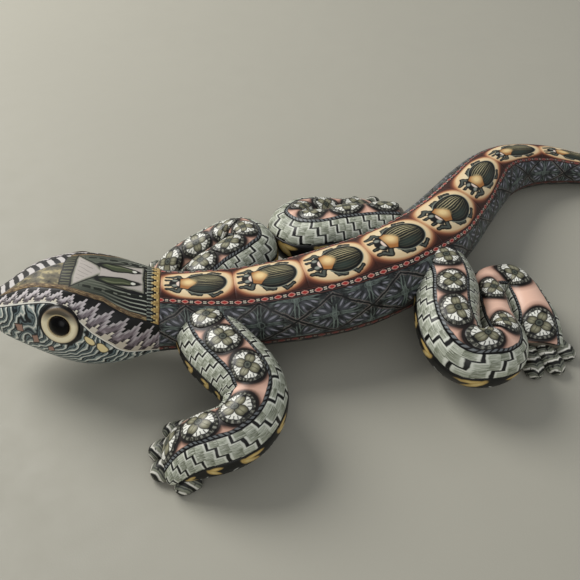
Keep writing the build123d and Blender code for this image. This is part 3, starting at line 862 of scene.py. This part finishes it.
def flowerPaint(name):
    paint = ClayPaint(name, (0.07, 0.07, 0.065), wander=0.16, roughness=0.36)
    radius = paint.length(paint.x, paint.y)
    angle = paint.y.math("ARCTAN2", paint.x)
    turn = math.tau / flower["petals"]
    mottle = paint.cloud(0.9, detail=3.0)
    ring = abs(radius - 4.5) - 0.4
    dashes = abs(angle.repeat(math.tau / 24)) * 4.4 - 0.34 + (mottle - 0.5) * 1.2
    paint.layer(ring.cover(0.2), (0.20, 0.20, 0.18))
    paint.layer((ring & dashes).cover(0.2) * (mottle * 8 - 3.4).hold(), flower["ring"])
    # a white petal: notched at its outer end, with veins that spread from the notch
    between = angle.repeat(turn, turn / 2)
    p, q = radius * between.math("COSINE"), abs(radius * between.math("SINE"))
    white = (q - (p * 0.62 - 0.12)) & paint.oval(p, q, 2.7, 0.7, 1.3, 1.4)
    paint.layer((white - 0.16).cover(0.15), black)
    paint.layer((white + 0.06).cover(0.2), flower["white"])
    veins = (abs((q / p).repeat(0.27)) * p - 0.11) & -(radius - 3.0)
    paint.layer((veins & (white + 0.12)).cover(0.15), (0.08, 0.08, 0.07))
    # a khaki petal: heart-shaped, paler in the middle
    beside = angle.repeat(turn)
    p, q = radius * beside.math("COSINE"), abs(radius * beside.math("SINE"))
    khaki = paint.oval(p, q, 2.1, 0.35, 1.35, 0.95)
    paint.layer((khaki - 0.14).cover(0.15), (0.06, 0.06, 0.05))
    paint.layer((khaki + 0.06).cover(0.2), flower["khaki"])
    paint.layer((khaki + 0.5).cover(0.5), flower["paleKhaki"])
    paint.layer((khaki + 0.3 & (q - 0.07)).cover(0.15) * 0.7, (0.25, 0.25, 0.19))
    paint.layer((radius - 1.15).cover(0.15), (0.05, 0.05, 0.045))
    paint.layer((radius - 0.86).cover(0.2), (0.34, 0.36, 0.32))
    paint.layer((radius - 0.45).cover(0.3), (0.16, 0.18, 0.16))
    return paint.finish()


# Grey-green blocks with stepped black joints
slab = {"period": 5.0, "step": 2.6, "jump": 1.6, "joint": 0.32, "ground": (0.72, 0.74, 0.67)}


def slabPaint(name, side):
    paint = ClayPaint(name, slab["ground"], wander=0.3)
    fromHigh = paint.read("share", 0.0)[2]
    inward = (paint.z if side > 0 else fromHigh) + 0.4
    s = paint.x
    row = (inward / slab["step"]).math("FLOOR")
    joint = (s + row * slab["jump"]).repeat(slab["period"])
    inRow = inward - row * slab["step"]
    # each block is streaked along the leg, darker towards one end
    streaks = paint.cloud(0.5, detail=4.0, vector=paint.combine(s * 0.4, inward * 1.8))
    paint.layer((joint + 1.2).cover(2.2) * 0.75, (0.44, 0.46, 0.38))
    paint.layer((streaks * 8 - 4.2).hold(0.85), (0.88, 0.89, 0.84))
    paint.layer((streaks * -8 + 3.5).hold(0.8), (0.34, 0.37, 0.30))
    across = abs((inward + (streaks - 0.5) * 0.5).repeat(0.87)) - 0.05
    paint.layer(across.cover(0.15) * 0.5, (0.30, 0.32, 0.28))
    riser = (inRow - 0.42) & (abs(joint - slab["jump"] / 2) - slab["jump"] / 2 - slab["joint"])
    crack = (abs(joint) - slab["joint"]) | riser
    paint.layer((crack - 0.4).cover(0.25) * 0.8, (0.92, 0.93, 0.88))
    paint.layer(crack.cover(0.15), (0.04, 0.045, 0.04))
    paint.layer((inward - 0.7).cover(0.2), black)
    paint.layer((paint.cloud(9.0) * 4 - 2.4).hold(0.45), (0.16, 0.17, 0.15))
    return paint.finish()


# Black, with gold flames and white ticks
underside = {"period": 7.0, "gold": (0.76, 0.64, 0.38), "tick": (0.85, 0.86, 0.84)}


def underPaint(name):
    paint = ClayPaint(name, (0.06, 0.06, 0.055), wander=0.4)
    fromHigh = paint.read("share")[2]
    s, fromLow = paint.x, paint.z
    for edge, shift in ((fromLow, 0.0), (fromHigh, 3.2)):
        u = s.repeat(underside["period"], shift)
        hook = paint.oval(u + edge * 0.45, edge, 1.2, 2.9, 0.95, 2.2)
        hook = hook | paint.oval(u, edge, -0.7, 1.4, 1.7, 0.75)
        paint.layer((hook - 0.25).cover(0.2), (0.12, 0.11, 0.09))
        paint.layer(hook.cover(0.25), underside["gold"])
        paint.layer((hook + 0.45).cover(0.4), (0.88, 0.78, 0.52))
        tick = paint.stroke(u, edge, 2.2, 4.4, 3.1, 5.6, 0.2)
        paint.layer(tick.cover(0.2), underside["tick"])
    return paint.finish()


# Bands of grey-green, black and white scraps
toe = {"period": 3.6, "ground": (0.52, 0.53, 0.47), "white": (0.92, 0.91, 0.87)}


def toePaint(name):
    paint = ClayPaint(name, toe["ground"], wander=0.5)
    bands = (paint.x + abs(paint.y) * 0.6).repeat(toe["period"])
    paint.layer((abs(bands) - 0.55).cover(0.3), (0.09, 0.09, 0.08))
    paint.layer((abs(bands - 1.1) - 0.25).cover(0.2), (0.30, 0.31, 0.29))
    paint.layer((abs(bands + 1.0) - 0.35).cover(0.3), toe["white"])
    speckle = paint.cloud(1.1, detail=3.0)
    paint.layer((speckle * -9 + 4.0).hold(0.9), (0.06, 0.06, 0.055))
    # painted shade: darker where the toe comes within about a millimetre of the table
    paint.layer((paint.z - 1.0).cover(0.6), (0.13, 0.13, 0.13))
    return paint.finish()


# Cream, shaded dark under the brow
eyeClay = {"cream": (1.0, 0.95, 0.80), "shade": (0.20, 0.17, 0.14), "bead": (0.03, 0.025, 0.02)}


def eyeRingPaint(name):
    paint = ClayPaint(name, eyeClay["cream"], wander=0.1, roughness=0.3)
    away = paint.x
    paint.layer((-(paint.y - 2.2)).cover(3.0) * 0.93, eyeClay["shade"])
    paint.layer((-(away - 5.3)).cover(0.9) * 0.5, (0.60, 0.50, 0.38))
    paint.layer((-(away - 5.75)).cover(0.3), (0.08, 0.07, 0.06))
    paint.layer((away - 3.75).cover(0.2), (0.92, 0.84, 0.66))
    return paint.finish()


def eyeBeadPaint(name):
    paint = ClayPaint(name, eyeClay["bead"], wander=0.1, roughness=0.14)
    paint.layer((-(paint.x - 2.9)).cover(0.8) * 0.5, (0.14, 0.09, 0.05))
    material = paint.finish()
    paint.shader.inputs["Specular IOR Level"].default_value = 0.16
    return material


# Body, head and tail
body = ClayRoll(bodyRows)
eye = {
    "place": 28.6,
    "angle": {"left": 67.0, "right": 78.0},
    "ring": 6.1,
    "bead": 3.4,
    "depth": 3.2,
}
sides = (("left", -1), ("right", 1))  # the left of the way from nose to tail is the lizard's right


def eyeSpot(own, side):
    return body.point(eye["place"], eye["angle"][own] * side)


def strip(low, high, side=1):
    # the two edges of a slice, low one first along the way the angle grows
    edges = [layEdge(low, side), layEdge(high, side)]
    return edges if side > 0 else edges[::-1]


def layBody():
    beetles = beetlePaint("beetle_clay")
    for number, (start, end) in enumerate(zip(seams["back"], seams["back"][1:]), 1):
        edges = layEdge("back", -1), layEdge("back")
        laySlice(f"back_slice_{number:02d}", beetles, "beetle", body, start, end, *edges, dome=0.25)
    neck, tailSeam = seams["neck"], seams["back"][-1]
    beadClay, flankClay = beadPaint("bead_clay"), flankPaint("flank_clay")
    for own, side in sides:
        upper, lower = strip("back", "bead", side), strip("bead", "flank", side)
        laySlice(f"bead_strip_{own}", beadClay, "beads", body, neck, tailSeam, *upper)
        laySlice(f"flank_skin_{own}", flankClay, "flank", body, neck, tailSeam, *lower)
    beading = newClay()
    for own, side in sides:
        layStrip(beading, body, neck, tailSeam, *strip("flank", "beading", side))
    finishPiece("clay_belly_beading", beading, beadPaint("beading_clay", 0.7), ["belly_beading"])
    under = layEdge("beading"), layEdge("beading", -1, 360)
    laySlice("belly_skin", bellyPaint("belly_clay"), "belly", body, neck, tailSeam, *under)
    print("body laid")


def layHead():
    snout, collarSeam, neck = seams["snout"], seams["collar"], seams["neck"]
    across = layEdge("crown", -1), layEdge("crown")
    laySlice("crown_slice", crownPaint("crown_clay"), "crown", body, snout, collarSeam, *across)
    collarClay = collarPaint("collar_clay")
    laySlice("collar_band", collarClay, "collar", body, collarSeam, neck, *across, dome=0.2)
    under = layEdge("cheek"), layEdge("cheek", -1, 360)
    laySlice("throat_skin", throatPaint("throat_clay"), "throat", body, snout, neck, *under)
    for own, side in sides:
        browClay = browPaint(f"brow_clay_{own}", side)
        laySlice(f"brow_band_{own}", browClay, "brow", body, snout, neck, *strip("crown", "brow", side))
        skin = cheekPaint(f"cheek_clay_{own}", eyeSpot(own, side), side)
        laySlice(f"cheek_skin_{own}", skin, "cheek", body, snout, neck, *strip("brow", "cheek", side))
    print("head laid")


def layEnd(name, material, start, end):
    # a closed end of the body: a grid rolled into a tube, its seam welded and its open end filled
    bm = newClay()
    place = bm.verts.layers.float_vector["place"]
    rows, columns = 16, 64
    bmesh.ops.create_grid(bm, x_segments=rows, y_segments=columns, size=1)
    for vert in bm.verts:
        t, n = (vert.co.x + 1) / 2, (vert.co.y + 1) / 2
        s = start + (end - start) * t
        fromTip = s if start == 0 else body.length - s
        spare = 1 - min(fromTip / clay["taper"], 1)
        middle = body.section(s)[0]
        surface = middle + (body.point(s, n * 360) - middle) * math.sqrt(1 - spare * spare)
        vert[place] = (s, body.arc(s, (n - 0.5) * 360) * (1 if n > 0.5 else -1), surface.z - middle.z)
        vert.co = surface * mm
    bmesh.ops.remove_doubles(bm, verts=bm.verts, dist=clay["weld"] * 2 * mm)
    bmesh.ops.holes_fill(bm, edges=[e for e in bm.edges if e.is_boundary], sides=0)
    finishPiece("clay_" + name, bm, material, [name])


def spinDome(bm, outline, steps=48):
    # turns an outline of radius and height pairs round the upright axis, and closes seam and poles
    before = set(bm.verts)
    verts = [bm.verts.new((x * mm, 0, z * mm)) for x, z in outline]
    edges = [bm.edges.new(pair) for pair in zip(verts, verts[1:])]
    bmesh.ops.spin(
        bm,
        geom=verts + edges,
        cent=(0, 0, 0),
        axis=(0, 0, 1),
        angle=math.tau,
        steps=steps,
        use_merge=True,
    )
    spun = [vert for vert in bm.verts if vert not in before]
    bmesh.ops.remove_doubles(bm, verts=spun, dist=clay["weld"] * mm)
    return [vert for vert in bm.verts if vert not in before]


def arcOutline(points, count=7):
    # a smooth outline through three points, as radius and height pairs
    (x0, z0), (x1, z1), (x2, z2) = points
    rows = []
    for i in range(count + 1):
        t = i / count
        a, b, c = (1 - t) * (1 - 2 * t), 4 * t * (1 - t), t * (2 * t - 1)
        rows.append((a * x0 + b * x1 + c * x2, a * z0 + b * z1 + c * z2))
    return rows


def setEyes():
    for own, side in sides:
        spot, out = eyeSpot(own, side), body.outward(eye["place"], eye["angle"][own] * side)
        up = (Vector((0, 0, 1)) - out * out.z).normalized()
        turn = Matrix((up.cross(out), up, out)).transposed().to_4x4()
        ring = arcOutline([(eye["ring"], -0.5), (5.2, 0.8), (eye["bead"], 0.7)])
        ringInside = (eye["bead"], -eye["depth"])
        bead = arcOutline([(3.25, 0.62), (1.9, 1.6), (0, 1.95)])
        outlines = {
            "eye_ring": [ringInside, (eye["ring"], -eye["depth"]), (eye["ring"], -0.9), *ring, ringInside],
            "eye_bead": [(0, -2.9), (3.3, -2.9), (3.3, 0.4), *bead],
        }
        paints = {
            "eye_ring": eyeRingPaint(f"ring_clay_{own}"),
            "eye_bead": eyeBeadPaint(f"bead_glass_{own}"),
        }
        for name, outline in outlines.items():
            bm = newClay()
            spinDome(bm, outline)
            place = bm.verts.layers.float_vector["place"]
            for vert in bm.verts:
                vert[place] = (vert.co.xy.length / mm, vert.co.y / mm, vert.co.z / mm)
            bmesh.ops.transform(bm, matrix=Matrix.Translation(spot * mm) @ turn, verts=bm.verts)
            finishPiece(f"clay_{name}_{own}", bm, paints[name], [f"{name}_{own}"])
    print("eyes set")


layBody()
layHead()
layEnd("snout_tip", snoutPaint("snout_clay"), 0.0, seams["snout"])
layEnd("tail_tip", tailPaint("tail_clay"), seams["back"][-1], body.length)
setEyes()

# Legs
legs = {
    "turn": {"front_left": -4, "front_right": 12, "hind_left": 0, "hind_right": -18},
    "crook": {"front_left": -1, "front_right": 1, "hind_left": 1, "hind_right": -1},
    "ribbon": 6.0,  # half width
    "slab": 7.8,
    "disc": 5.2,  # radius
    "raise": 0.75,
    "discs": {
        "front_left": [9, 20, 31.5, 45, 55.5, 66],
        "front_right": [6, 16.5, 27, 38, 49, 59.5],
        "hind_left": [10, 23, 34, 45, 58.5, 76.5, 93, 112.5],
        "hind_right": [6.5, 19, 31, 44, 56, 68],
    },
    "start": {"front_left": 3.0, "front_right": 2.0, "hind_left": 6.0, "hind_right": 2.0},
}
# Toes: x, y where each starts inside the foot, x, y of its tip, radius
toeRows = {
    "front_left": [
        (-45, -37.5, -53, -36.3, 2.5),
        (-49, -43.8, -58.5, -43, 3.1),
        (-50, -50.2, -59.5, -50.4, 3.0),
        (-47, -55.8, -54, -58, 2.6),
    ],
    "front_right": [
        (-36, 22.5, -45, 19, 2.5),
        (-38, 26.8, -48, 26, 2.6),
        (-37.5, 32.2, -47, 34.2, 2.6),
        (-34, 35, -41, 40.5, 2.4),
    ],
    "hind_left": [
        (78.5, -41, 82, -49.5, 2.7),
        (73.5, -43, 74.6, -53.8, 2.9),
        (68.3, -42, 66.5, -53, 2.9),
        (64, -39.5, 57.8, -47.2, 2.6),
    ],
    "hind_right": [
        (49, 37, 58, 36, 2.5),
        (48.5, 42, 58.5, 43.5, 2.6),
        (46, 45, 53.5, 51, 2.6),
        (42, 46.5, 45.5, 54.5, 2.5),
    ],
}


def layFlowers(name, leg, material):
    # domed discs, each spun flat and then pressed onto the ribbon
    bm = newClay()
    place = bm.verts.layers.float_vector["place"]
    radius, lift, turn = legs["disc"], legs["raise"], legs["turn"][name]
    for number, spot in enumerate(legs["discs"][name]):
        dome = [(radius * i / 13, lift * (1 - (i / 14) ** 4)) for i in range(13)]
        rim = [(radius - 0.16, lift * 0.24), (radius, -0.15), (radius, -1.1), (0, -1.1)]
        spun = spinDome(bm, dome + rim, 52)
        swing = math.radians(137.5 * number + 40 * len(name))
        for vert in spun:
            x, y, height = vert.co / mm
            vert[place] = (
                x * math.cos(swing) + y * math.sin(swing),
                y * math.cos(swing) - x * math.sin(swing),
                height,
            )
            s = min(max(spot + x, 0), leg.length)
            angle = turn + math.degrees(y / leg.radius(s))
            surface = leg.point(s, angle)
            uneven = noise.noise(surface * 0.2) * 0.2
            vert.co = (surface + leg.outward(s, angle) * (height + uneven)) * mm
            vert.co.z = max(vert.co.z, clay["clearance"] * mm)
    finishPiece(f"clay_{name}_leg_flowers", bm, material, [f"{name}_leg_flowers"])


def layToes(name, material):
    # fingers of clay: an outline spun round its length, flattened on the table
    bm = newClay()
    place = bm.verts.layers.float_vector["place"]
    for number, (x0, y0, x1, y1, radius) in enumerate(toeRows[name]):
        root = Vector((x0 - clay["middle"][0], y0 - clay["middle"][1], radius * 0.8))
        tip = Vector((x1 - clay["middle"][0], y1 - clay["middle"][1], radius * 0.8))
        length = (tip - root).length
        stretch = [(radius * 1.12, i * (length - radius) / 12) for i in range(13)]
        cap = [
            (radius * math.cos(i * math.pi / 16), length - radius + radius * math.sin(i * math.pi / 16))
            for i in range(1, 9)
        ]
        taper = [(r * (1.1 - 0.16 * z / length), z) for r, z in stretch]
        spun = spinDome(bm, [(0, -radius * 0.3), (radius * 0.8, -radius * 0.2), *taper, *cap], 40)
        along = (tip - root).normalized()
        side = Vector((0, 0, 1)).cross(along)
        turn = Matrix((side, Vector((0, 0, 1)), along)).transposed().to_4x4()
        for vert in spun:
            around = math.atan2(vert.co.x, vert.co.y)
            vert[place] = (vert.co.z / mm + number * 1.7, around * radius, 0)
        bmesh.ops.transform(bm, matrix=Matrix.Translation(root * mm) @ turn, verts=spun)
        for vert in spun:
            x, y, z = vert[place]
            vert.co += noise.noise_vector(vert.co * 160) * 0.25 * mm
            vert.co.z = max(vert.co.z, clay["clearance"] * mm)
            vert[place] = (x, y, vert.co.z / mm)
    finishPiece(f"clay_{name}_toes", bm, material, [f"{name}_toes"])


def layLegs():
    ribbonClay, flowerClay = ribbonPaint("ribbon_clay"), flowerPaint("flower_clay")
    underClay = underPaint("underside_clay")
    slabClay = {side: slabPaint(f"slab_clay_{side + 1}", side) for side in (-1, 1)}
    toeClay = toePaint("toe_clay")
    for name, rows in legRows.items():
        leg = ClayRoll(rows)
        turn, start, end = legs["turn"][name], legs["start"][name], leg.length
        half, far = legs["ribbon"], legs["ribbon"] + legs["slab"]
        edges = [bandEdge(leg, distance, turn) for distance in (-far, -half, half, far)]
        look = {"drop": 0.3, "rim": 0.8}
        middle = {"discs": legs["discs"][name], **look}
        laySlice(f"{name}_leg_ribbon", ribbonClay, "ribbon", leg, start, end, *edges[1:3], **middle)
        for side, (low, high) in ((1, edges[2:]), (-1, edges[:2])):
            place = "inner" if side == legs["crook"][name] else "outer"
            where = leg, start, end, low, high
            laySlice(f"{name}_leg_{place}_slab", slabClay[side], "slab", *where, dome=0.2, **look)
        rest = bandEdge(leg, -far, turn, 360)
        laySlice(f"{name}_leg_underside", underClay, "underside", leg, start, end, edges[3], rest, **look)
        layFlowers(name, leg, flowerClay)
        layToes(name, toeClay)
        print(name, "leg laid")


layLegs()

# The plain clay inside, and the wire pins
inside = plainClay("core_clay", (0.50, 0.47, 0.42))
for name in ("head_core", "body_core", *(f"{leg}_leg_core" for leg in legRows)):
    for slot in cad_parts[name].material_slots:
        slot.material = inside
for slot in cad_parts["leg_pins"].material_slots:
    slot.material = wireMetal("pin_wire")

# Floor, camera and light
stage = {
    "floor": (0.70, 0.69, 0.64),
    "floorSize": 4.0,  # metres from the middle to an edge
    "camera": (-104.1, -199.5, 212.9),
    "target": (-36.5, 3.6, 13.3),
    "view": 37.0,  # degrees
    "lights": {  # place, size in metres, power, colour
        "window": ((-400, 540, 560), 0.55, 6.0, (1.0, 0.98, 0.94)),
        "room": ((500, -700, 900), 1.6, 1.3, (0.95, 0.97, 1.0)),
        "fill": ((-400, -950, 560), 0.8, 2.4, (1.0, 0.98, 0.95)),
    },
    "air": (0.8, 0.82, 0.84),
    "airStrength": 0.31,
}


def makeFloor():
    bm = bmesh.new()
    bmesh.ops.create_grid(bm, x_segments=8, y_segments=8, size=stage["floorSize"])
    mesh = bpy.data.meshes.new("floor")
    bm.to_mesh(mesh)
    bm.free()
    floor = bpy.data.objects.new("floor", mesh)
    bpy.context.scene.collection.objects.link(floor)
    paint = ClayPaint("floor_paint", stage["floor"], roughness=0.6)
    paint.layer(paint.cloud(60.0) * 0.06, (0.4, 0.4, 0.38))
    mesh.materials.append(paint.finish())


def aim(item, place, target):
    item.location = Vector(place) * mm
    item.rotation_euler = (Vector(target) - Vector(place)).to_track_quat("-Z", "Y").to_euler()
    bpy.context.scene.collection.objects.link(item)


def addLight(name, place, size, power, colour):
    light = bpy.data.lights.new(name, "AREA")
    light.shape = "DISK"
    light.size = size
    light.energy = power
    light.color = colour
    aim(bpy.data.objects.new(name, light), place, (0, 0, 0))


makeFloor()
camera = bpy.data.cameras.new("camera")
camera.angle = math.radians(stage["view"])
camera.clip_start = 0.01
view = bpy.data.objects.new("camera", camera)
aim(view, stage["camera"], stage["target"])
bpy.context.scene.camera = view
bpy.context.scene.view_settings.view_transform = "Standard"
for name, light in stage["lights"].items():
    addLight(name, *light)
world = bpy.data.worlds.new("room_light")
world.use_nodes = True
world.node_tree.nodes["Background"].inputs["Color"].default_value = (*stage["air"], 1)
world.node_tree.nodes["Background"].inputs["Strength"].default_value = stage["airStrength"]
bpy.context.scene.world = world
print("stage set")
